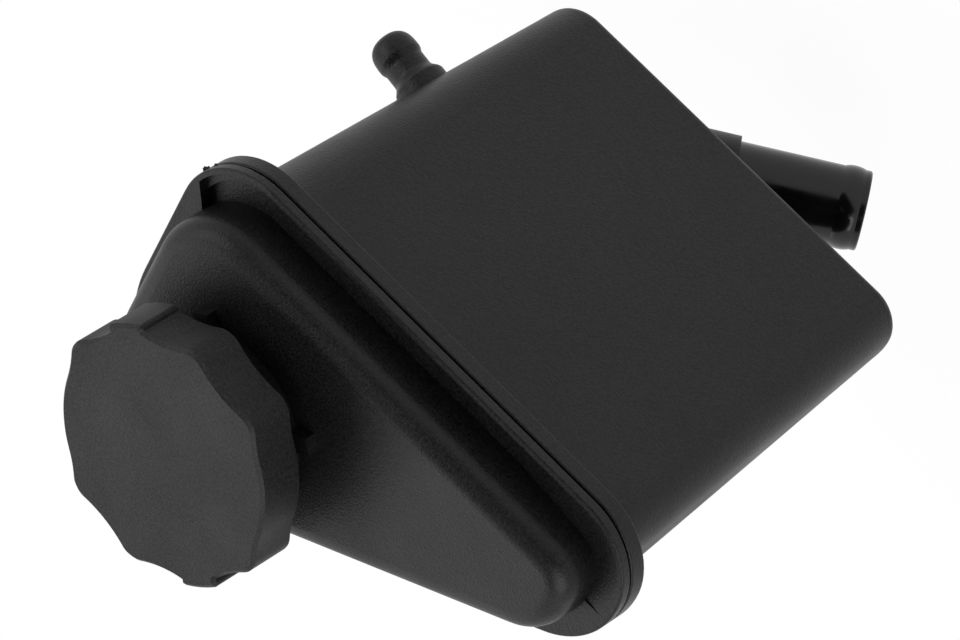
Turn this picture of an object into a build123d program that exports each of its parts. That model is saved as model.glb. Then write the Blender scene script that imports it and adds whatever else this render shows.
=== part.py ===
from build123d import *
from math import cos, degrees, radians, sin, tan
import os

# Power steering reservoir: a welded two-shell tank with a screw cap, a suction pipe and a return nipple.
# Millimetres, +Z up. The origin lies on the underside of the welding flange, in the middle of the strip
# along its straight front edge. The front faces -Y and the wide end faces +X.

# Flange, where the two shells are welded
flange_overhang = 8.4
flange_half_length = 64.35
flange_front_y = -flange_overhang / 2
flange_back = 54.2
flange_radii = (17.2, 18.2, 34.0, 23.0)
body_flange_thickness = 4.2
weld_rib_height = 0.5
weld_rib_inset = 2.6
cover_flange_thickness = 2.6
flange_edge_radius = 0.5
flange_root = 0.8

# Channel in the top of the cover's flange, between a lip along the front edge and the dome. A ledge runs
# behind the lip, the floor below it reaches down into the tank's flange and ramps up to the narrow end.
channel_depth = 3.0
channel_ledge_depth = 1.8
channel_lip = 1.3
channel_wall = 0.8
channel_wide_end = ((57.2, 16.6), (63.3, 7.3))
channel_narrow_end = -62.0
channel_ramp_foot = -30.0

# Tank walls, seen from above: a straight front, a square wide end and a back that slants to the narrow end
wall = 2.5
back_slant = 29.2
wall_front_y = flange_front_y + flange_overhang
wide_top_x = 60.4
wide_bottom_x = 56.6
narrow_top_x = -57.4
narrow_bottom_x = -48.3
back_top = 50.6
back_bottom = 43.7
wall_radii = (8.6, 18.0, 27.0, 15.7)
floor_radii = (8.6, 10.6, 27.0, 17.6)
narrow_side_share = 0.98
tank_depth = 105.7
floor_edge_radius = 2.0

# Dome of the cover
dome_height = 10.1
dome_back = 49.6
dome_edge_radius = 5.0

# Filler neck
neck_x = 27.8
neck_radius = 20.9
neck_back_land = 3.5
neck_wall = 2.5
neck_height = 14.0
lug_count = 4
lug_angle = -144.0
lug_width = 4.0
lug_height = 2.6
lug_reach = 4.6

# Screw thread of the neck and the cap, right-handed, one start
thread_pitch = 3.0
thread_depth = 1.3
thread_foot = 1.6
thread_crest = 0.7
thread_clearance = 0.4
thread_sink = 0.25
neck_thread_fall = 7.1
neck_thread_turns = 2.0
cap_thread_angle = 180.0
cap_thread_turns = 0.9

# Cap
cap_height = 11.5
cap_roof = 2.2
cap_skirt = 2.1
cap_sleeve_wall = 2.3
cap_sleeve_recess = 0.5
lobe_pocket = 3.0
lobe_width = 3.5
lobe_edge_radius = 4.5
flute_count = 10
flute_depth = 2.1
flute_angle = -28.0
plain_places = (1, 6)
broad_lobes = (136.0, 316.0)
broad_lobe_angle = 20.0
broad_lobe_edge_radius = 1.0
cap_edge = 0.8

# Swivel insert, gasket, valve and dipstick under the cap
swivel_gap = 0.3
running_clearance = 0.05
stud_radius = 3.5
stud_head_radius = 4.3
stud_head_height = 1.1
stud_length = 5.2
stud_slot = 1.0
insert_gap = 0.6
insert_thickness = 1.2
insert_rim_clearance = 0.3
hub_wall = 2.4
hub_floor = 1.8
gasket_seat_gap = 0.3
gasket_thickness = 1.6
gasket_width = 3.4
gasket_lip = 1.3
gasket_lip_height = 3.2
valve_side_gap = 0.6
valve_stem_radius = 1.5
valve_head_height = 0.9
valve_knob_radius = 2.1
valve_knob_height = 0.8
valve_groove_width = 6.0
valve_groove_depth = 0.8
vent_hole_radius = 0.6
vent_hole_count = 3
socket_height = 8.0
socket_wall = 1.8
blade_width = 8.0
blade_thickness = 1.6
blade_length = 84.0
blade_insertion = 7.0
level_notch = 0.6
level_marks_z = (-24.0, -44.0)

# Return nipple on the wide end
nipple_y = 18.8
nipple_z = -67.0
nipple_tilt = 9.5
nipple_boss_radius = 6.15
nipple_boss_rim = 2.2
nipple_flare_end = 5.0
nipple_flare_slope = 0.3
nipple_stem_radius = 4.7
nipple_stem_end = 8.0
nipple_bulge_radius = 5.2
nipple_bulge_start = 9.8
nipple_bulge_end = 10.8
nipple_length = 14.9
nipple_tip_radius = 3.5
nipple_tip_slope = 1.6
nipple_bore_radius = 2.75
nipple_inner_length = 6.0
nipple_inner_radius = 5.0

# Outlet elbow under the bottom and its suction pipe
outlet_x = 16.6
outlet_y = 27.2
elbow_drop = 6.0
pipe_pitch = 32.0
pipe_yaw = 13.8
pipe_radius = 8.9
pipe_wall = 1.6
collar_wall = 1.15
collar_length = 13.0
socket_depth = 11.0
pipe_projection = 29.6
bead_height = 0.45
bead_width = 4.8
pipe_nose = 1.4
pipe_edge = 0.3

# Strainer over the outlet
strainer_base_radius = 14.0
strainer_base_thickness = 2.0
strainer_spigot = 1.5
strainer_radius = 11.0
strainer_height = 27.0
strainer_post = 1.5
strainer_posts = 6
strainer_cap_thickness = 1.5
mesh_thickness = 0.3

# Baffle plate between the return side and the outlet side
return_chamber = 17.6
baffle_thickness = 2.0
baffle_height = 62.0
baffle_side_gap = 0.4
guide_gap = 0.15
guide_width = 1.5
guide_depth = 3.0
window_radius = 6.0
window_spacing = 22.0
window_height = 16.0

# Return diffuser on the inner end of the nipple
diffuser_wall = 1.6
diffuser_wall_gap = 1.9
diffuser_baffle_gap = 2.6
diffuser_slots = 6
diffuser_slot_width = 2.4
diffuser_slot_gap = 0.3

# Worked out from the sizes above
weld_plane_z = body_flange_thickness + weld_rib_height
cover_flange_top_z = weld_plane_z + cover_flange_thickness
dome_top_z = cover_flange_top_z + dome_height
floor_z = -tank_depth + wall
slant_sin = sin(radians(back_slant))
slant_cos = cos(radians(back_slant))
neck_bore_radius = neck_radius - neck_wall
neck_top_z = dome_top_z + neck_height
neck_y = (dome_back - neck_back_land - neck_radius + neck_x * slant_sin) / slant_cos
gasket_bottom_z = neck_top_z + gasket_seat_gap
insert_bottom_z = gasket_bottom_z + gasket_thickness
insert_top_z = insert_bottom_z + insert_thickness
cap_ceiling_z = insert_top_z + insert_gap
cap_top_z = cap_ceiling_z + cap_roof
cap_rim_z = cap_top_z - cap_height
sleeve_radius = neck_radius + thread_depth + thread_clearance
cap_radius = sleeve_radius + cap_sleeve_wall + lobe_pocket + cap_skirt
flute_half_angle = (360 / flute_count - degrees(lobe_width / cap_radius)) / 2
flute_bottom = cap_radius - flute_depth
flute_reach = cap_radius * cos(radians(flute_half_angle)) - flute_bottom
flute_centre = (cap_radius**2 - flute_bottom**2) / (2 * flute_reach)
flute_radius = flute_centre - flute_bottom
rim_corners = 2 * (flute_count - len(plain_places))
neck_thread_start_z = neck_top_z - neck_thread_fall
cap_thread_start_z = neck_thread_start_z + thread_pitch / 2
stud_end_z = cap_ceiling_z - stud_length
hub_chamber_top_z = stud_end_z + stud_head_height + swivel_gap
hub_chamber_bottom_z = stud_end_z - 2 * swivel_gap
hub_bottom_z = hub_chamber_bottom_z - hub_floor
hub_radius = stud_head_radius + swivel_gap + hub_wall
neck_plane = Plane((neck_x, neck_y, 0))
neck_axis = Axis((neck_x, neck_y, 0), (0, 0, 1))
elbow_z = -tank_depth - elbow_drop
collar_radius = pipe_radius + collar_wall
pipe_inner_radius = pipe_radius - pipe_wall
pipe_direction = Vector(
    -cos(radians(pipe_pitch)) * cos(radians(pipe_yaw)),
    -cos(radians(pipe_pitch)) * sin(radians(pipe_yaw)),
    -sin(radians(pipe_pitch)),
)
elbow_centre = Vector(outlet_x, outlet_y, elbow_z)
outlet_plane = Plane(origin=elbow_centre, z_dir=pipe_direction)
pipe_section_plane = Plane(origin=elbow_centre, x_dir=pipe_direction, z_dir=outlet_plane.x_dir)
pipe_end = collar_length + pipe_projection
bead_end = pipe_end - pipe_nose
strainer_plane = Plane((outlet_x, outlet_y, 0))
wide_lean = (wide_top_x - wide_bottom_x) / (weld_plane_z + tank_depth)
nipple_base = Vector(wide_bottom_x + wide_lean * (nipple_z + tank_depth), nipple_y, nipple_z)
nipple_direction = Vector(cos(radians(nipple_tilt)), 0, -sin(radians(nipple_tilt)))
nipple_plane = Plane(origin=nipple_base, x_dir=(0, 1, 0), z_dir=nipple_direction)
nipple_section_plane = Plane(origin=nipple_base, x_dir=nipple_direction, z_dir=(0, -1, 0))
gasket_inner_radius = neck_radius - gasket_width
insert_radius = neck_radius + thread_clearance - insert_rim_clearance
socket_bottom_z = hub_bottom_z - socket_height
blade_top_z = socket_bottom_z + blade_insertion
lip_inner_radius = gasket_inner_radius - gasket_lip
valve_ring_radius = (hub_radius + lip_inner_radius) / 2
valve_head_radius = (lip_inner_radius - hub_radius) / 2 - valve_side_gap
valve_plane = Plane((neck_x - valve_ring_radius, neck_y, 0))
guide_offset = baffle_thickness / 2 + guide_gap + guide_width / 2
baffle_x = wide_bottom_x - return_chamber
back_wall_y = (back_top + baffle_x * slant_sin) / slant_cos
diffuser_radius = nipple_inner_radius + running_clearance + diffuser_wall
diffuser_mouth = wall + diffuser_wall_gap
diffuser_end = (nipple_base.X - baffle_x - baffle_thickness / 2) / nipple_direction.X - diffuser_baffle_gap
diffuser_length = diffuser_end - diffuser_mouth
diffuser_floor = diffuser_end - diffuser_wall
diffuser_slot_length = diffuser_floor - wall - nipple_inner_length - diffuser_slot_gap
channel_floor_z = cover_flange_top_z - channel_depth
channel_ledge_z = cover_flange_top_z - channel_ledge_depth


def outline(narrow_x, front_y, wide_x, back, radii, inset=0.0):
    """Four-sided plan outline with rounded corners, drawn in the open sketch.

    back is the distance of the slanting back line from the origin, and the radii run from the front of the
    narrow end round by the front and the back of the wide end. Where the narrow end is too short for its two
    roundings, both get smaller.
    """
    x0 = narrow_x + inset
    x1 = wide_x - inset
    y0 = front_y + inset
    d = back - inset
    corners = [
        (x0, y0),
        (x1, y0),
        (x1, (d + x1 * slant_sin) / slant_cos),
        (x0, (d + x0 * slant_sin) / slant_cos),
    ]
    narrow_side = corners[3][1] - y0
    rounded = radii[0] - inset + (radii[3] - inset) * tan(radians(90 - back_slant) / 2)
    room = min(1.0, narrow_side_share * narrow_side / rounded)
    limits = (room, 1.0, 1.0, room)
    with BuildSketch(mode=Mode.PRIVATE) as plan:
        Polygon(*corners, align=None)
        for corner, radius, limit in zip(corners, radii, limits):
            nearest = plan.vertices().sort_by_distance(Vector(*corner, 0))[0]
            fillet(nearest, radius=limit * (radius - inset))
    add(plan.sketch)


def flange_outline(inset=0.0):
    """Plan outline of both welding flanges."""
    outline(-flange_half_length, flange_front_y, flange_half_length, flange_back, flange_radii, inset)


def wall_outline(inset=0.0):
    """Plan outline of the tank's walls where the shells meet."""
    outline(narrow_top_x, wall_front_y, wide_top_x, back_top, wall_radii, inset)


def floor_outline(inset=0.0):
    """Plan outline of the tank's walls at the bottom, smaller because both ends and the back lean in."""
    outline(narrow_bottom_x, wall_front_y, wide_bottom_x, back_bottom, floor_radii, inset)


def dome_outline(inset=0.0):
    """Plan outline of the dome, which stands a little in from the tank's back wall."""
    outline(narrow_top_x, wall_front_y, wide_top_x, dome_back, wall_radii, inset)


def channel_outline(lip, grow=0.0):
    """Plan outline of the channel outside the dome.

    lip is its distance from the flange's edge, and grow widens its ends and its side toward the dome.
    """
    with BuildSketch(mode=Mode.PRIVATE) as inside_lip:
        flange_outline(lip)
    with BuildSketch(mode=Mode.PRIVATE) as dome:
        dome_outline(grow)
    with BuildSketch(mode=Mode.PRIVATE) as plan:
        Polygon(
            (channel_narrow_end, channel_wide_end[0][1]),
            (channel_narrow_end, 2 * flange_front_y),
            (flange_half_length, 2 * flange_front_y),
            channel_wide_end[1],
            channel_wide_end[0],
            align=None,
        )
        if grow > 0:
            offset(amount=grow, kind=Kind.INTERSECTION)
        add(inside_lip.sketch, mode=Mode.INTERSECT)
        add(dome.sketch, mode=Mode.SUBTRACT)
    add(plan.sketch)


def cap_sector(start, end):
    """Wedge of the cap's plan between two angles in degrees, drawn in the open sketch well past the rim."""
    Polygon(
        (0, 0),
        (2 * cap_radius * cos(radians(start)), 2 * cap_radius * sin(radians(start))),
        (2 * cap_radius * cos(radians(end)), 2 * cap_radius * sin(radians(end))),
        align=None,
    )


def cap_outline(inset=0.0):
    """Plan outline of the cap: flutes between narrow lobes, two lobes cut off plain and two broad ones."""
    flute_pitch = 360 / flute_count
    half_lobe = broad_lobe_angle / 2 - degrees(inset / cap_radius)
    with BuildSketch(mode=Mode.PRIVATE) as plain:
        for place in plain_places:
            cap_sector(flute_angle + place * flute_pitch, flute_angle + (place + 1) * flute_pitch)
        Circle(flute_bottom - inset, mode=Mode.SUBTRACT)
    with BuildSketch(mode=Mode.PRIVATE) as broad:
        for middle in broad_lobes:
            cap_sector(middle - half_lobe, middle + half_lobe)
        Circle(cap_radius - inset, mode=Mode.INTERSECT)
    with BuildSketch(mode=Mode.PRIVATE) as plan:
        Circle(cap_radius - inset)
        with PolarLocations(flute_centre, flute_count, start_angle=flute_angle):
            Circle(flute_radius + inset, mode=Mode.SUBTRACT)
        add(plain.sketch, mode=Mode.SUBTRACT)
        if inset == 0:
            fillet(plan.vertices().sort_by_distance((0, 0, 0))[-rim_corners:], radius=lobe_edge_radius)
        add(broad.sketch)
        if inset == 0:
            for angle in (a for middle in broad_lobes for a in (middle - half_lobe, middle + half_lobe)):
                corner = Vector(cap_radius, 0).rotate(Axis.Z, angle)
                fillet(plan.vertices().sort_by_distance(corner)[0], radius=broad_lobe_edge_radius)
    add(plan.sketch)


def thread_ridge(radius, start_z, turns, angle, outward):
    """One helical ridge round the neck's axis, its foot sunk a little into the wall that carries it.

    start_z is the height of the helix at angle 0, and the ridge starts at the given angle on it.
    """
    sign = 1 if outward else -1
    with BuildPart() as ridge:
        with BuildLine() as path:
            Helix(
                thread_pitch,
                thread_pitch * turns,
                radius,
                center=(neck_x, neck_y, start_z + thread_pitch * angle / 360),
            )
        start = path.line @ 0
        with BuildSketch(Plane(origin=start, x_dir=(1, 0, 0), z_dir=path.line % 0)):
            Polygon(
                (-sign * thread_sink, -thread_foot / 2),
                (sign * thread_depth, -thread_crest / 2),
                (sign * thread_depth, thread_crest / 2),
                (-sign * thread_sink, thread_foot / 2),
                align=None,
            )
        sweep(is_frenet=True)
    return ridge.part.rotate(neck_axis, angle)


# Lower shell: flange, leaning walls, return nipple, elbow, and the guides for the baffle plate inside
with BuildPart() as tank_outside:
    with BuildSketch(Plane.XY.offset(weld_plane_z)):
        wall_outline()
    with BuildSketch(Plane.XY.offset(-tank_depth)):
        floor_outline()
    loft(ruled=True)
    fillet(tank_outside.faces().sort_by(Axis.Z)[0].edges(), radius=floor_edge_radius)

with BuildPart() as tank_inside:
    with BuildSketch(Plane.XY.offset(weld_plane_z)):
        wall_outline(wall)
    with BuildSketch(Plane.XY.offset(floor_z)):
        floor_outline(wall)
    loft(ruled=True)

with BuildPart() as body_flange:
    with BuildSketch():
        flange_outline()
    extrude(amount=body_flange_thickness)
    fillet(body_flange.faces().filter_by(Axis.Z).edges(), radius=flange_edge_radius)

with BuildPart() as channel_tongue:
    with BuildSketch(Plane.XY.offset(channel_floor_z - channel_wall)):
        channel_outline(weld_rib_inset, channel_wall)
    extrude(amount=weld_plane_z - channel_floor_z + channel_wall)

with BuildPart() as guides:
    with Locations((baffle_x, wall_front_y + wall, floor_z)):
        with GridLocations(2 * guide_offset, 0, 2, 1):
            Box(guide_width, 2 * guide_depth, baffle_height, align=(Align.CENTER, Align.CENTER, Align.MIN))
    with Locations((baffle_x, back_wall_y, floor_z)):
        with GridLocations(2 * guide_offset, 0, 2, 1):
            Box(guide_width, back_wall_y / 2, baffle_height, align=(Align.CENTER, Align.CENTER, Align.MIN))

with BuildPart() as reservoir_body:
    add(tank_outside.part)
    add(body_flange.part)
    with BuildSketch(Plane.XY.offset(body_flange_thickness)):
        flange_outline(weld_rib_inset)
    extrude(amount=weld_rib_height)
    add(channel_tongue.part, mode=Mode.SUBTRACT)

    # Sloping root under the flange, round the tank's walls
    with BuildSketch():
        wall_outline(-flange_root)
    with BuildSketch(Plane.XY.offset(-flange_root)):
        wall_outline(flange_root)
    loft(ruled=True)

    # Elbow: a short drop from the floor, a ball and the collar for the pipe
    with BuildSketch(Plane.XY.offset(elbow_z)):
        with Locations((outlet_x, outlet_y)):
            Circle(collar_radius)
    extrude(amount=elbow_drop + wall / 2)
    with Locations(elbow_centre):
        Sphere(collar_radius)
    with BuildSketch(outlet_plane):
        Circle(collar_radius)
    extrude(amount=collar_length)

    # Return nipple, turned about its own axis, which tilts down a little
    with BuildSketch(nipple_section_plane):
        with BuildLine():
            Polyline(
                (-wall / 2, 0),
                (-wall / 2, nipple_boss_radius),
                (nipple_boss_rim, nipple_boss_radius),
            )
            Spline(
                (nipple_boss_rim, nipple_boss_radius),
                (nipple_flare_end, nipple_stem_radius),
                tangents=((1, -nipple_flare_slope), (1, 0)),
            )
            Line(
                (nipple_flare_end, nipple_stem_radius),
                (nipple_stem_end, nipple_stem_radius),
            )
            Spline(
                (nipple_stem_end, nipple_stem_radius),
                (nipple_bulge_start, nipple_bulge_radius),
                tangents=((1, 0), (1, 0)),
            )
            Line(
                (nipple_bulge_start, nipple_bulge_radius),
                (nipple_bulge_end, nipple_bulge_radius),
            )
            Spline(
                (nipple_bulge_end, nipple_bulge_radius),
                (nipple_length, nipple_tip_radius),
                tangents=((1, 0), (1, -nipple_tip_slope)),
            )
            Polyline(
                (nipple_length, nipple_tip_radius),
                (nipple_length, 0),
                (-wall / 2, 0),
            )
        make_face()
    revolve(axis=Axis(nipple_base, nipple_direction))

    # Hollow the tank, then put in the guides and the inner stub of the nipple
    add(tank_inside.part, mode=Mode.SUBTRACT)
    add(guides.part.intersect(tank_outside.part))
    with BuildSketch(nipple_plane.offset(-wall / 2)):
        Circle(nipple_inner_radius)
    extrude(amount=-(wall / 2 + nipple_inner_length))
    with BuildSketch(nipple_plane.offset(nipple_length)):
        Circle(nipple_bore_radius)
    extrude(amount=-(nipple_length + wall + nipple_inner_length), mode=Mode.SUBTRACT)

    # Bores of the elbow: down from the floor, round the ball and out along the collar
    with BuildSketch(Plane.XY.offset(elbow_z)):
        with Locations((outlet_x, outlet_y)):
            Circle(pipe_inner_radius)
    extrude(amount=elbow_drop + 2 * wall, mode=Mode.SUBTRACT)
    with Locations(elbow_centre):
        Sphere(pipe_inner_radius, mode=Mode.SUBTRACT)
    with BuildSketch(outlet_plane):
        Circle(pipe_inner_radius)
    extrude(amount=collar_length, mode=Mode.SUBTRACT)
    with BuildSketch(outlet_plane.offset(collar_length)):
        Circle(pipe_radius + running_clearance)
    extrude(amount=-socket_depth, mode=Mode.SUBTRACT)

# Suction pipe: a straight pipe with a low bead near its free end and a short nose beyond the bead
with BuildPart() as suction_pipe:
    with BuildSketch(pipe_section_plane):
        with BuildLine():
            Polyline(
                (bead_end - bead_width, pipe_radius),
                (collar_length - socket_depth, pipe_radius),
                (collar_length - socket_depth, pipe_inner_radius),
                (pipe_end, pipe_inner_radius),
                (pipe_end, pipe_radius - pipe_edge),
                (pipe_end - pipe_edge, pipe_radius),
                (bead_end, pipe_radius),
            )
            ThreePointArc(
                (bead_end, pipe_radius),
                (bead_end - bead_width / 2, pipe_radius + bead_height),
                (bead_end - bead_width, pipe_radius),
            )
        make_face()
    revolve(axis=Axis(elbow_centre, pipe_direction))

# Upper shell: flange with its channel, hollow dome, filler neck with lugs and thread
with BuildPart() as dome_outside:
    with BuildSketch(Plane.XY.offset(weld_plane_z)):
        dome_outline()
    extrude(amount=dome_top_z - weld_plane_z)
    fillet(dome_outside.faces().sort_by(Axis.Z)[-1].edges(), radius=dome_edge_radius)

with BuildPart() as dome_inside:
    with BuildSketch(Plane.XY.offset(weld_plane_z)):
        dome_outline(wall)
    extrude(amount=dome_top_z - weld_plane_z - wall)
    fillet(dome_inside.faces().sort_by(Axis.Z)[-1].edges(), radius=dome_edge_radius - wall)

with BuildPart() as channel_space:
    with BuildSketch(Plane.XY.offset(channel_floor_z)):
        channel_outline(weld_rib_inset + channel_wall)
    with BuildSketch(Plane.XY.offset(channel_ledge_z)):
        channel_outline(channel_lip)
    extrude(amount=channel_depth)
    with BuildSketch(Plane.XZ):
        Polygon(
            (channel_ramp_foot, channel_floor_z),
            (channel_narrow_end, channel_floor_z),
            (channel_narrow_end, cover_flange_top_z),
            align=None,
        )
    extrude(amount=flange_half_length, both=True, mode=Mode.SUBTRACT)

with BuildPart() as cover_flange:
    with BuildSketch(Plane.XY.offset(weld_plane_z)):
        flange_outline()
    extrude(amount=cover_flange_thickness)
    fillet(cover_flange.faces().filter_by(Axis.Z).edges(), radius=flange_edge_radius)

    add(channel_tongue.part)
    add(channel_space.part, mode=Mode.SUBTRACT)

with BuildPart() as reservoir_cover:
    add(dome_outside.part)
    add(cover_flange.part)
    with BuildSketch(neck_plane.offset(dome_top_z - wall)):
        Circle(neck_radius)
    extrude(amount=neck_top_z - dome_top_z + wall)
    with BuildSketch(neck_plane.offset(dome_top_z)):
        with PolarLocations(neck_radius, lug_count, start_angle=lug_angle):
            Rectangle(2 * lug_reach, lug_width)
    extrude(amount=lug_height)
    add(dome_inside.part, mode=Mode.SUBTRACT)
    with BuildSketch(neck_plane.offset(dome_top_z - 2 * wall)):
        Circle(neck_bore_radius)
    extrude(amount=neck_top_z - dome_top_z + 2 * wall, mode=Mode.SUBTRACT)
    add(thread_ridge(neck_radius, neck_thread_start_z, neck_thread_turns, 0, True))

# Cap: scalloped skirt with cored-out lobes, a threaded sleeve inside it and a split stud in the middle
with BuildPart() as cap_shell:
    with BuildSketch(neck_plane.offset(cap_rim_z)):
        cap_outline()
    extrude(amount=cap_height)
    chamfer(cap_shell.faces().sort_by(Axis.Z)[-1].edges(), length=cap_edge)
    with BuildSketch(neck_plane.offset(cap_rim_z)):
        Circle(sleeve_radius)
    extrude(amount=cap_height - cap_roof, mode=Mode.SUBTRACT)
    with BuildSketch(neck_plane.offset(cap_rim_z)):
        Circle(sleeve_radius + cap_sleeve_wall)
    extrude(amount=cap_sleeve_recess, mode=Mode.SUBTRACT)
    with BuildSketch(neck_plane.offset(cap_rim_z)):
        cap_outline(cap_skirt)
        Circle(sleeve_radius + cap_sleeve_wall, mode=Mode.SUBTRACT)
    extrude(amount=cap_height - cap_roof, mode=Mode.SUBTRACT)
    with BuildSketch(neck_plane.offset(cap_ceiling_z)):
        Circle(valve_ring_radius + valve_groove_width / 2)
        Circle(valve_ring_radius - valve_groove_width / 2, mode=Mode.SUBTRACT)
    extrude(amount=valve_groove_depth, mode=Mode.SUBTRACT)
    with BuildSketch(neck_plane.offset(stud_end_z)):
        Circle(stud_head_radius)
    extrude(amount=stud_head_height)
    with BuildSketch(neck_plane.offset(stud_end_z)):
        Circle(stud_radius)
    extrude(amount=stud_length)
    with BuildSketch(neck_plane.offset(stud_end_z)):
        Rectangle(2 * stud_head_radius, stud_slot)
    extrude(amount=stud_length - stud_slot, mode=Mode.SUBTRACT)
    add(thread_ridge(sleeve_radius, cap_thread_start_z, cap_thread_turns, cap_thread_angle, False))

# Swivel insert: a disc with a gasket lip, a hub that snaps over the stud, and the dipstick's socket
with BuildPart() as cap_insert:
    with BuildSketch(neck_plane.offset(insert_bottom_z)):
        Circle(insert_radius)
    extrude(amount=insert_thickness)
    with BuildSketch(neck_plane.offset(insert_bottom_z)):
        Circle(gasket_inner_radius - running_clearance)
        Circle(lip_inner_radius, mode=Mode.SUBTRACT)
    extrude(amount=-gasket_lip_height)
    with BuildSketch(neck_plane.offset(hub_bottom_z)):
        Circle(hub_radius)
    extrude(amount=insert_bottom_z - hub_bottom_z)
    with BuildSketch(neck_plane.offset(hub_bottom_z)):
        Rectangle(blade_width + 2 * socket_wall, blade_thickness + 2 * socket_wall)
    extrude(amount=-socket_height)
    with BuildSketch(neck_plane.offset(socket_bottom_z)):
        Rectangle(blade_width + 2 * running_clearance, blade_thickness + 2 * running_clearance)
    extrude(amount=blade_insertion, mode=Mode.SUBTRACT)
    with BuildSketch(neck_plane.offset(insert_top_z)):
        Circle(stud_radius + running_clearance)
    extrude(amount=hub_chamber_bottom_z - insert_top_z, mode=Mode.SUBTRACT)
    with BuildSketch(neck_plane.offset(hub_chamber_bottom_z)):
        Circle(stud_head_radius + swivel_gap)
    extrude(amount=hub_chamber_top_z - hub_chamber_bottom_z, mode=Mode.SUBTRACT)
    with BuildSketch(valve_plane.offset(insert_bottom_z)):
        Circle(valve_stem_radius + running_clearance)
        with PolarLocations((valve_stem_radius + valve_head_radius) / 2, vent_hole_count):
            Circle(vent_hole_radius)
    extrude(amount=insert_thickness, mode=Mode.SUBTRACT)

with BuildPart() as cap_gasket:
    with BuildSketch(neck_plane.offset(gasket_bottom_z)):
        Circle(neck_radius)
        Circle(gasket_inner_radius, mode=Mode.SUBTRACT)
    extrude(amount=gasket_thickness)

with BuildPart() as vent_valve:
    with BuildSketch(valve_plane.offset(insert_bottom_z - valve_head_height)):
        Circle(valve_head_radius)
    extrude(amount=valve_head_height)
    with BuildSketch(valve_plane.offset(insert_bottom_z)):
        Circle(valve_stem_radius)
    extrude(amount=insert_thickness)
    with BuildSketch(valve_plane.offset(insert_top_z)):
        Circle(valve_knob_radius)
    extrude(amount=valve_knob_height)

# Dipstick: a flat blade with two notched level marks and a rounded tip
with BuildPart() as dipstick:
    with BuildSketch(Plane(origin=(neck_x, neck_y, blade_top_z), x_dir=(1, 0, 0), z_dir=(0, -1, 0))) as blade:
        with Locations((0, -blade_length / 2)):
            Rectangle(blade_width, blade_length)
        fillet(blade.vertices().sort_by(Axis.Y)[:2], radius=blade_width / 2 - level_notch)
    extrude(amount=blade_thickness / 2, both=True)
    for mark_z in level_marks_z:
        with Locations((neck_x, neck_y, mark_z)):
            with GridLocations(blade_width, 0, 2, 1):
                Box(2 * level_notch, blade_thickness, level_notch, mode=Mode.SUBTRACT)

# Strainer cage and its mesh, on the tank floor over the outlet
with BuildPart() as strainer_frame:
    with BuildSketch(strainer_plane.offset(floor_z)):
        Circle(strainer_base_radius)
    extrude(amount=strainer_base_thickness)
    with BuildSketch(strainer_plane.offset(floor_z)):
        Circle(pipe_inner_radius - running_clearance)
    extrude(amount=-strainer_spigot)
    with BuildSketch(strainer_plane.offset(floor_z + strainer_height - strainer_cap_thickness)):
        Circle(strainer_radius + mesh_thickness + running_clearance)
    extrude(amount=strainer_cap_thickness)
    with BuildSketch(strainer_plane.offset(floor_z + strainer_base_thickness)):
        with PolarLocations(strainer_radius - strainer_post / 2, strainer_posts):
            Rectangle(strainer_post, strainer_post)
    extrude(amount=strainer_height - strainer_cap_thickness - strainer_base_thickness)
    with BuildSketch(strainer_plane.offset(floor_z - strainer_spigot)):
        Circle(pipe_inner_radius - strainer_post)
    extrude(amount=strainer_spigot + strainer_base_thickness, mode=Mode.SUBTRACT)

with BuildPart() as strainer_mesh:
    with BuildSketch(strainer_plane.offset(floor_z + strainer_base_thickness)):
        Circle(strainer_radius + mesh_thickness + running_clearance)
        Circle(strainer_radius + running_clearance, mode=Mode.SUBTRACT)
    extrude(amount=strainer_height - strainer_cap_thickness - strainer_base_thickness)

# Baffle plate, cut to the leaning walls, with two windows near its foot
with BuildPart() as baffle_plate:
    with BuildSketch(Plane.XY.offset(weld_plane_z)):
        wall_outline(wall + baffle_side_gap)
    with BuildSketch(Plane.XY.offset(floor_z)):
        floor_outline(wall + baffle_side_gap)
    loft(ruled=True)
    with Locations((baffle_x, 0, floor_z)):
        Box(
            baffle_thickness,
            2 * back_wall_y,
            baffle_height,
            align=(Align.CENTER, Align.CENTER, Align.MIN),
            mode=Mode.INTERSECT,
        )
    with BuildSketch(Plane.YZ.offset(baffle_x - baffle_thickness / 2)):
        with Locations((back_wall_y / 2, floor_z + window_height)):
            with GridLocations(window_spacing, 0, 2, 1):
                Circle(window_radius)
    extrude(amount=baffle_thickness, mode=Mode.SUBTRACT)

# Diffuser cup on the inner stub of the return nipple, with slots round its closed end
with BuildPart() as return_diffuser:
    with BuildSketch(nipple_plane.offset(-diffuser_mouth)):
        Circle(diffuser_radius)
    extrude(amount=-diffuser_length)
    with BuildSketch(nipple_plane.offset(-diffuser_mouth)):
        Circle(nipple_inner_radius + running_clearance)
    extrude(amount=diffuser_wall - diffuser_length, mode=Mode.SUBTRACT)
    with BuildSketch(nipple_plane.offset(-diffuser_floor)):
        with PolarLocations(diffuser_radius, diffuser_slots):
            Rectangle(4 * diffuser_wall, diffuser_slot_width)
    extrude(amount=diffuser_slot_length, mode=Mode.SUBTRACT)

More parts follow.
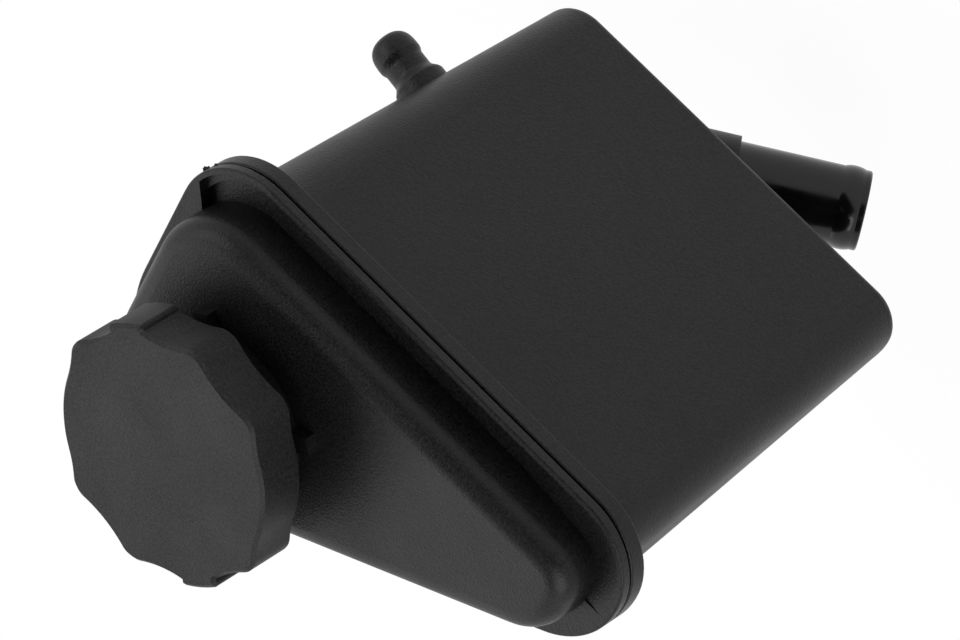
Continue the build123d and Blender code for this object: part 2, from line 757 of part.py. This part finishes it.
reservoir_body.part.label = "reservoir_body"
suction_pipe.part.label = "suction_pipe"
reservoir_cover.part.label = "reservoir_cover"
cap_shell.part.label = "cap_shell"
cap_insert.part.label = "cap_insert"
cap_gasket.part.label = "cap_gasket"
vent_valve.part.label = "vent_valve"
dipstick.part.label = "dipstick"
strainer_frame.part.label = "strainer_frame"
strainer_mesh.part.label = "strainer_mesh"
baffle_plate.part.label = "baffle_plate"
return_diffuser.part.label = "return_diffuser"
os.makedirs("parts", exist_ok=True)
export_step(reservoir_body.part, "parts/reservoir_body.step")
export_step(suction_pipe.part, "parts/suction_pipe.step")
export_step(reservoir_cover.part, "parts/reservoir_cover.step")
export_step(cap_shell.part, "parts/cap_shell.step")
export_step(cap_insert.part, "parts/cap_insert.step")
export_step(cap_gasket.part, "parts/cap_gasket.step")
export_step(vent_valve.part, "parts/vent_valve.step")
export_step(dipstick.part, "parts/dipstick.step")
export_step(strainer_frame.part, "parts/strainer_frame.step")
export_step(strainer_mesh.part, "parts/strainer_mesh.step")
export_step(baffle_plate.part, "parts/baffle_plate.step")
export_step(return_diffuser.part, "parts/return_diffuser.step")
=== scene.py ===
import math

import bmesh
import bpy
from mathutils import Matrix, Vector, noise


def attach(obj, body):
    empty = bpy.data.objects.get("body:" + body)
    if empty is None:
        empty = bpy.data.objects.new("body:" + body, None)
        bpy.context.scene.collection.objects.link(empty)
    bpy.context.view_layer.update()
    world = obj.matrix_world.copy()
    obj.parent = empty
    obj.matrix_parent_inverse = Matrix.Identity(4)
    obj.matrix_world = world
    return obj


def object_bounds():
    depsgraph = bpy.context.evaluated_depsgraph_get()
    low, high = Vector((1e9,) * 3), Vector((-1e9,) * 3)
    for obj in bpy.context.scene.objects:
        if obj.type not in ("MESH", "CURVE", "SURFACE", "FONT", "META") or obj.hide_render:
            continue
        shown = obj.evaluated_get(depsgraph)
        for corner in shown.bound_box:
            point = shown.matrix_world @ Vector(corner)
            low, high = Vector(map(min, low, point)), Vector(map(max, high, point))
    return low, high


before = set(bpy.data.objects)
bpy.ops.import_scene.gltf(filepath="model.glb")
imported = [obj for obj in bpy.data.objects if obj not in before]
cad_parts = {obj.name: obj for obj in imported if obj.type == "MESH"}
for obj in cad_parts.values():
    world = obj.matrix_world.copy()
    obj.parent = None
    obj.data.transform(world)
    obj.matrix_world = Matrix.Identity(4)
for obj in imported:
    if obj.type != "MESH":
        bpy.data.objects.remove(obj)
solid_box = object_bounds()


# Tank. The lower shell is injection moulded in black glass-filled nylon, with its walls, return nipple and
# outlet elbow in one piece. The mould is spark eroded, which leaves a fine even grain over every face.

def linear(hex_colour):
    """An sRGB hex colour as the linear values that Blender's sockets take."""
    levels = [int(hex_colour[i:i + 2], 16) / 255 for i in (1, 3, 5)]
    return [c / 12.92 if c < 0.04045 else ((c + 0.055) / 1.055) ** 2.4 for c in levels] + [1.0]


def add_node(tree, kind, inputs=(), **settings):
    """Adds a node. Each input is a number or colour, or the output of another node to link."""
    made = tree.nodes.new("ShaderNode" + kind)
    for name, value in settings.items():
        setattr(made, name, value)
    for socket, value in dict(inputs).items():
        if isinstance(value, bpy.types.NodeSocket):
            tree.links.new(value, made.inputs[socket])
        else:
            made.inputs[socket].default_value = value
    return made


def start_material(name):
    """A material with nothing but its output: the material, its tree and the output."""
    material = bpy.data.materials.new(name)
    material.use_nodes = True
    material.node_tree.nodes.clear()
    return material, material.node_tree, add_node(material.node_tree, "OutputMaterial")


def finish_nodes(material, *names):
    """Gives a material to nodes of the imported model."""
    for name in names:
        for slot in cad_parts[name].material_slots:
            slot.material = material


def add_piece(name, built, material):
    """Makes an object of a built mesh, with one material, and puts it in the scene."""
    mesh = bpy.data.meshes.new(name)
    built.to_mesh(mesh)
    mesh.materials.append(material)
    piece = bpy.data.objects.new(name, mesh)
    bpy.context.scene.collection.objects.link(piece)
    return piece


shell_grain = 0.0005
shell_cloud = 0.022
shell_scuff = 0.0007
scuff_lean = 0.35
scuff_stretch = 0.06

# Glass-filled nylon, spark-eroded grain: near black with a soft grey sheen, broken up by the grain and by
# faint scuffs that run down the walls.
shell_plastic, tree, surface = start_material("glass_filled_nylon")
place = add_node(tree, "TexCoord").outputs["Object"]
grain = add_node(tree, "TexNoise", {
    "Vector": place, "Scale": 1 / shell_grain, "Detail": 2.0, "Roughness": 0.6})
cloud = add_node(tree, "TexNoise", {"Vector": place, "Scale": 1 / shell_cloud, "Detail": 3.0})
stretched = add_node(tree, "Mapping", {
    "Vector": place, "Rotation": (0.0, scuff_lean, 0.0), "Scale": (1.0, 1.0, scuff_stretch)})
scuff = add_node(tree, "TexNoise", {
    "Vector": stretched.outputs["Vector"], "Scale": 1 / shell_scuff, "Detail": 1.0})
scuff_mark = add_node(tree, "MapRange", {
    "Value": scuff.outputs["Fac"], "From Min": 0.66, "From Max": 0.78, "To Min": 0.0, "To Max": 0.35})
speck = add_node(tree, "MapRange", {"Value": grain.outputs["Fac"], "From Min": 0.36, "From Max": 0.64})
tone = add_node(tree, "Mix", {
    0: speck.outputs["Result"], 6: linear("#030303"), 7: linear("#161617")}, data_type="RGBA")
tone_scuffed = add_node(tree, "Mix", {
    0: scuff_mark.outputs["Result"], 6: tone.outputs[2], 7: linear("#222223")}, data_type="RGBA")
sheen = add_node(tree, "MapRange", {
    "Value": cloud.outputs["Fac"], "From Min": 0.3, "From Max": 0.7, "To Min": 0.38, "To Max": 0.46})
relief = add_node(tree, "Bump", {"Height": grain.outputs["Fac"], "Strength": 0.9, "Distance": 0.00012})
nylon = add_node(tree, "BsdfPrincipled", {
    "Base Color": tone_scuffed.outputs[2], "Roughness": sheen.outputs["Result"],
    "Normal": relief.outputs["Normal"], "IOR": 1.5, "Specular IOR Level": 0.25})
tree.links.new(nylon.outputs["BSDF"], surface.inputs["Surface"])
finish_nodes(shell_plastic, "reservoir_body")


# Inner plastics. The baffle plate, the strainer cage, the return diffuser and the dipstick are moulded in
# natural nylon, an ivory plastic that lets a little light in and is left unpolished.

inner_grain = 0.0006
inner_cloud_scale = 70.0

# Natural nylon, plain moulded: ivory, slightly waxy, with faint cloudiness from the melt.
natural_nylon, tree, surface = start_material("natural_nylon")
place = add_node(tree, "TexCoord").outputs["Object"]
grain = add_node(tree, "TexNoise", {"Vector": place, "Scale": 1 / inner_grain, "Detail": 2.0})
cloud = add_node(tree, "TexNoise", {"Vector": place, "Scale": inner_cloud_scale, "Detail": 3.0})
tone = add_node(tree, "Mix", {
    0: cloud.outputs["Fac"], 6: linear("#cfc7b2"), 7: linear("#ddd6c4")}, data_type="RGBA")
relief = add_node(tree, "Bump", {"Height": grain.outputs["Fac"], "Strength": 0.3, "Distance": 0.00003})
nylon = add_node(tree, "BsdfPrincipled", {
    "Base Color": tone.outputs[2], "Roughness": 0.42, "Normal": relief.outputs["Normal"], "IOR": 1.53,
    "Subsurface Weight": 0.15, "Subsurface Radius": (0.002, 0.0015, 0.001), "Subsurface Scale": 1.0})
tree.links.new(nylon.outputs["BSDF"], surface.inputs["Surface"])
finish_nodes(natural_nylon, "baffle_plate", "strainer_frame", "return_diffuser", "dipstick")


# Strainer mesh. A plain-woven stainless wire cloth is rolled into a tube and moulded into the cage, and it
# keeps grit out of the pump.

wire_spacing = 0.0006
wave_scale = 0.157 / wire_spacing

# Stainless wire cloth: bright wires, with painted shade for the gaps between them, laid out by the same weave
# pattern that drives the relief.
wire_cloth, tree, surface = start_material("stainless_wire_cloth")
place = add_node(tree, "TexCoord").outputs["Object"]
warp = add_node(tree, "TexWave", {"Vector": place, "Scale": wave_scale}, bands_direction="Z")
weft = add_node(tree, "TexWave", {"Vector": place, "Scale": wave_scale}, bands_direction="DIAGONAL")
weave = add_node(tree, "Math", {0: warp.outputs["Fac"], 1: weft.outputs["Fac"]}, operation="MAXIMUM")
# The dark end of this mix is painted shade in the gaps between the wires. The light end is the wire's own
# colour.
tone = add_node(tree, "Mix", {
    0: weave.outputs["Value"], 6: linear("#2e2e2c"), 7: linear("#b9b7b0")}, data_type="RGBA")
relief = add_node(tree, "Bump", {"Height": weave.outputs["Value"], "Strength": 0.8, "Distance": 0.0001})
wire = add_node(tree, "BsdfPrincipled", {
    "Base Color": tone.outputs[2], "Metallic": 1.0, "Roughness": 0.32, "Normal": relief.outputs["Normal"]})
tree.links.new(wire.outputs["BSDF"], surface.inputs["Surface"])
finish_nodes(wire_cloth, "strainer_mesh")


# Suction pipe. A length of extruded nylon pipe is pressed into the elbow's collar. It comes off the extruder
# smooth and shiny, with faint lines along it.

pipe_heading = Vector((-0.823569, -0.202288, -0.529919))
pipe_line = 0.0005
pipe_line_stretch = 0.02
pipe_smear_scale = 160.0

# Extruded nylon, unfilled: black and glossy, with slight streaks along the pipe.
pipe_plastic, tree, surface = start_material("extruded_nylon")
place = add_node(tree, "TexCoord").outputs["Object"]
turn = pipe_heading.to_track_quat("Z", "Y").inverted().to_euler()
along = add_node(tree, "Mapping", {"Vector": place, "Rotation": turn})
drawn = add_node(tree, "Mapping", {"Vector": along.outputs["Vector"], "Scale": (1.0, 1.0, pipe_line_stretch)})
line = add_node(tree, "TexNoise", {"Vector": drawn.outputs["Vector"], "Scale": 1 / pipe_line, "Detail": 2.0})
smear = add_node(tree, "TexNoise", {"Vector": place, "Scale": pipe_smear_scale, "Detail": 3.0})
tone = add_node(tree, "Mix", {
    0: smear.outputs["Fac"], 6: linear("#060606"), 7: linear("#0c0c0d")}, data_type="RGBA")
sheen = add_node(tree, "MapRange", {
    "Value": smear.outputs["Fac"], "From Min": 0.3, "From Max": 0.7, "To Min": 0.16, "To Max": 0.26})
relief = add_node(tree, "Bump", {"Height": line.outputs["Fac"], "Strength": 0.25, "Distance": 0.00001})
nylon = add_node(tree, "BsdfPrincipled", {
    "Base Color": tone.outputs[2], "Roughness": sheen.outputs["Result"],
    "Normal": relief.outputs["Normal"], "IOR": 1.53, "Specular IOR Level": 0.32})
tree.links.new(nylon.outputs["BSDF"], surface.inputs["Surface"])
finish_nodes(pipe_plastic, "suction_pipe")


# Cover. The upper shell, with its dome, filler neck and lugs, is moulded in the same nylon as the tank and
# from the same grained mould, and is welded on by its flange.

finish_nodes(shell_plastic, "reservoir_cover")


# Weld flash. Hot-plate welding squeezes an uneven bead of nylon into the groove between the two flanges. It
# stays a little behind their edges, and two torn nubs of it stick out at the front corner of the wide end.

flange_corners = ((-0.06435, -0.0042), (0.06435, -0.0042), (0.06435, 0.09804), (-0.06435, 0.0261))
corner_radii = (0.01664, 0.0182, 0.034, 0.02225)
corner_steps = 24
straight_cuts = 80
longest_step = 0.008
flash_foot = 0.00422
flash_height = 0.00046
flash_setback = 0.0013
flash_waver = 0.0005
coarse_waves = 160
fine_waves = 700
fine_share = 0.5
tank_middle = Vector((0.0, 0.03, 0.0))

flash = bmesh.new()
edge_verts = []
for number, radius in enumerate(corner_radii):
    corner = Vector(flange_corners[number])
    back = (Vector(flange_corners[number - 1]) - corner).normalized()
    ahead = (Vector(flange_corners[(number + 1) % len(flange_corners)]) - corner).normalized()
    half = back.angle(ahead) / 2
    centre = corner + (back + ahead).normalized() * radius / math.sin(half)
    spoke = corner + back * radius / math.tan(half) - centre
    for step in range(corner_steps + 1):
        spot = centre + Matrix.Rotation((math.pi - 2 * half) * step / corner_steps, 2) @ spoke
        edge_verts.append(flash.verts.new((*spot, flash_foot)))
flash.faces.new(edge_verts)
straights = [edge for edge in flash.edges if edge.calc_length() > longest_step]
bmesh.ops.subdivide_edges(flash, edges=straights, cuts=straight_cuts)

# Two insets: the first ring outside the bead goes, the second ring is the bead and what lies inside it goes.
core = list(flash.faces)
bmesh.ops.inset_region(flash, faces=core, thickness=flash_setback, use_boundary=True, use_even_offset=True)
bmesh.ops.delete(flash, geom=[face for face in flash.faces if face not in core], context="FACES")
bmesh.ops.inset_region(flash, faces=core, thickness=flash_setback, use_boundary=True, use_even_offset=True)
bmesh.ops.delete(flash, geom=core, context="FACES")
raised = bmesh.ops.extrude_face_region(flash, geom=list(flash.faces))
raised_verts = [part for part in raised["geom"] if isinstance(part, bmesh.types.BMVert)]
bmesh.ops.translate(flash, vec=(0, 0, flash_height), verts=raised_verts)
for vert in flash.verts:
    outward = vert.co - tank_middle
    outward.z = 0
    waver = noise.noise(vert.co * coarse_waves) + fine_share * noise.noise(vert.co * fine_waves)
    vert.co += outward.normalized() * waver * flash_waver
bmesh.ops.recalc_face_normals(flash, faces=flash.faces)
weld_flash = add_piece("weld_flash", flash, shell_plastic)
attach(weld_flash, "tank")

# Each nub is its place and its length.
nubs = ((0.0627, 0.0071, 0.0049, 0.0020), (0.0611, 0.0046, 0.0048, 0.0018))
nub_shape = (1.0, 0.7, 0.9)
nub_roughness = 0.45
nub_waves = 2200
nub_shift = 1000

torn = bmesh.new()
for *spot, length in nubs:
    lump = bmesh.ops.create_icosphere(torn, subdivisions=4, radius=length / 2)
    bmesh.ops.scale(torn, vec=nub_shape, verts=lump["verts"])
    for vert in lump["verts"]:
        vert.co *= 1 + nub_roughness * noise.noise(vert.co * nub_waves + Vector(spot) * nub_shift)
    bmesh.ops.translate(torn, vec=spot, verts=lump["verts"])
for face in torn.faces:
    face.smooth = True
flash_nubs = add_piece("flash_nubs", torn, shell_plastic)
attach(flash_nubs, "tank")


# Cap. The cap and the swivel disc under it are moulded in the same kind of nylon, with a coarser grain than
# the tank's, which gives a firm grip and looks a little greyer.

cap_grain = 0.00055
cap_cloud_scale = 60.0

# Glass-filled nylon, coarse grain: dark grey with a dry, evenly speckled sheen.
cap_plastic, tree, surface = start_material("coarse_grained_nylon")
place = add_node(tree, "TexCoord").outputs["Object"]
grain = add_node(tree, "TexNoise", {
    "Vector": place, "Scale": 1 / cap_grain, "Detail": 3.0, "Roughness": 0.65})
cloud = add_node(tree, "TexNoise", {"Vector": place, "Scale": cap_cloud_scale, "Detail": 3.0})
speck = add_node(tree, "MapRange", {"Value": grain.outputs["Fac"], "From Min": 0.36, "From Max": 0.64})
tone = add_node(tree, "Mix", {
    0: speck.outputs["Result"], 6: linear("#070707"), 7: linear("#222223")}, data_type="RGBA")
sheen = add_node(tree, "MapRange", {
    "Value": cloud.outputs["Fac"], "From Min": 0.3, "From Max": 0.7, "To Min": 0.5, "To Max": 0.6})
relief = add_node(tree, "Bump", {"Height": grain.outputs["Fac"], "Strength": 0.8, "Distance": 0.00012})
nylon = add_node(tree, "BsdfPrincipled", {
    "Base Color": tone.outputs[2], "Roughness": sheen.outputs["Result"],
    "Normal": relief.outputs["Normal"], "IOR": 1.5, "Specular IOR Level": 0.27})
tree.links.new(nylon.outputs["BSDF"], surface.inputs["Surface"])
finish_nodes(cap_plastic, "cap_shell", "cap_insert")


# Gasket and vent valve. Both are moulded in nitrile rubber and pushed into place by hand: the gasket over
# the disc's lip and the valve's stem through its hole.

rubber_grain = 0.0003
bloom_scale = 250.0

# Nitrile rubber, moulded: dull black with a faint dusty bloom.
nitrile, tree, surface = start_material("nitrile_rubber")
place = add_node(tree, "TexCoord").outputs["Object"]
grain = add_node(tree, "TexNoise", {"Vector": place, "Scale": 1 / rubber_grain, "Detail": 2.0})
bloom = add_node(tree, "TexNoise", {"Vector": place, "Scale": bloom_scale, "Detail": 3.0})
tone = add_node(tree, "Mix", {
    0: bloom.outputs["Fac"], 6: linear("#141413"), 7: linear("#262625")}, data_type="RGBA")
relief = add_node(tree, "Bump", {"Height": grain.outputs["Fac"], "Strength": 0.3, "Distance": 0.00003})
rubber = add_node(tree, "BsdfPrincipled", {
    "Base Color": tone.outputs[2], "Roughness": 0.7, "Normal": relief.outputs["Normal"], "IOR": 1.52})
tree.links.new(rubber.outputs["BSDF"], surface.inputs["Surface"])
finish_nodes(nitrile, "cap_gasket", "vent_valve")


# Studio. The part hangs just above a white floor in a white room, lit by three soft lamps. What the camera
# and reflections see of the floor and the room is plain white.

def seen_directly(tree):
    """1 for rays of the camera, of reflections and of what shows through, and 0 for the rest."""
    rays = add_node(tree, "LightPath").outputs
    seen = add_node(tree, "Math", {0: rays["Is Camera Ray"], 1: rays["Is Glossy Ray"]}, operation="MAXIMUM")
    seen_or_through = add_node(tree, "Math", {
        0: seen.outputs[0], 1: rays["Is Transmission Ray"]}, operation="MAXIMUM")
    return seen_or_through.outputs[0]


floor_gap = 0.02
floor_size = 8.0
floor_glow_share = 0.9
room_light = 0.55
plain_white = (1.0, 1.0, 1.0, 1.0)

# Matt white board: white where the camera looks past the part, with the part's soft shadow kept.
white_board, tree, surface = start_material("white_board")
share = add_node(tree, "Math", {0: seen_directly(tree), 1: floor_glow_share}, operation="MULTIPLY")
board = add_node(tree, "BsdfDiffuse", {"Color": linear("#f2f2f2")})
glow = add_node(tree, "Emission", {"Color": plain_white, "Strength": 1.0})
white = add_node(tree, "MixShader", {
    0: share.outputs[0], 1: board.outputs["BSDF"], 2: glow.outputs["Emission"]})
tree.links.new(white.outputs["Shader"], surface.inputs["Surface"])

sheet = bmesh.new()
bmesh.ops.create_grid(sheet, x_segments=1, y_segments=1, size=floor_size / 2)
bmesh.ops.translate(sheet, vec=(0, 0, solid_box[0].z - floor_gap), verts=sheet.verts)
floor = add_piece("floor", sheet, white_board)

room = bpy.data.worlds.new("white_room")
bpy.context.scene.world = room
room.use_nodes = True
tree = room.node_tree
tree.nodes.clear()
level = add_node(tree, "MapRange", {"Value": seen_directly(tree), "To Min": room_light, "To Max": 1.0})
air = add_node(tree, "Background", {"Color": plain_white, "Strength": level.outputs["Result"]})
add_node(tree, "OutputWorld", {"Surface": air.outputs["Background"]})


def soft_lamp(name, place, width, height, power):
    """A rectangular soft lamp at a place, facing the part."""
    data = bpy.data.lights.new(name, "AREA")
    data.shape = "RECTANGLE"
    data.size, data.size_y, data.energy = width, height, power
    lamp = bpy.data.objects.new(name, data)
    lamp.location = place
    lamp.rotation_mode = "QUATERNION"
    lamp.rotation_quaternion = (-Vector(place)).to_track_quat("-Z", "Y")
    lamp.visible_camera = False
    bpy.context.scene.collection.objects.link(lamp)


# Black cloth hung behind the camera and above the part: only reflections see it, so that the faces toward
# the camera and the hollows stay dark.
black_cloth, tree, surface = start_material("black_cloth")
cloth = add_node(tree, "BsdfDiffuse", {"Color": linear("#050505")})
tree.links.new(cloth.outputs["BSDF"], surface.inputs["Surface"])

for name, width, height, middle in (
    ("cloth_front", 3.2, 1.4, (-0.2, -1.48, 1.42)),
    ("cloth_above", 2.4, 1.2, (0.1, 0.1, 1.5)),
):
    hanging = bmesh.new()
    bmesh.ops.create_grid(hanging, x_segments=1, y_segments=1, size=0.5)
    bmesh.ops.scale(hanging, vec=(width, height, 1), verts=hanging.verts)
    facing = Vector(middle).to_track_quat("Z", "Y").to_matrix().to_4x4()
    bmesh.ops.transform(hanging, matrix=Matrix.Translation(middle) @ facing, verts=hanging.verts)
    card = add_piece(name, hanging, black_cloth)
    card.visible_camera = False
    card.visible_diffuse = False
    card.visible_shadow = False

soft_lamp("lamp_left", (-1.4, -0.1, 1.5), 1.4, 1.4, 24.0)
soft_lamp("lamp_right", (1.2, -0.2, 1.2), 1.0, 1.0, 9.0)
soft_lamp("lamp_back", (0.46, 1.27, 1.20), 1.7, 1.5, 8.0)


# Camera. A long lens looks from above the front at the narrow end, and is rolled so that the cap points to
# the lower left. view_back is the direction from the part to the camera.

view_from = Vector((-0.3949, -1.0878, 1.0154))
view_back = Vector((-0.2553, -0.7027, 0.6640)).normalized()
view_up = Vector((0.6789, -0.6193, -0.3943))

view_right = view_up.cross(view_back).normalized()
view_up = view_back.cross(view_right)
camera_data = bpy.data.cameras.new("camera")
camera_data.sensor_width = 36.0
camera_data.lens = 281.25
camera_data.clip_end = 50.0
camera = bpy.data.objects.new("camera", camera_data)
facing = Matrix((view_right, view_up, view_back)).transposed().to_4x4()
camera.matrix_world = Matrix.Translation(view_from) @ facing
bpy.context.scene.collection.objects.link(camera)
bpy.context.scene.camera = camera

bpy.context.scene.view_settings.view_transform = "Standard"
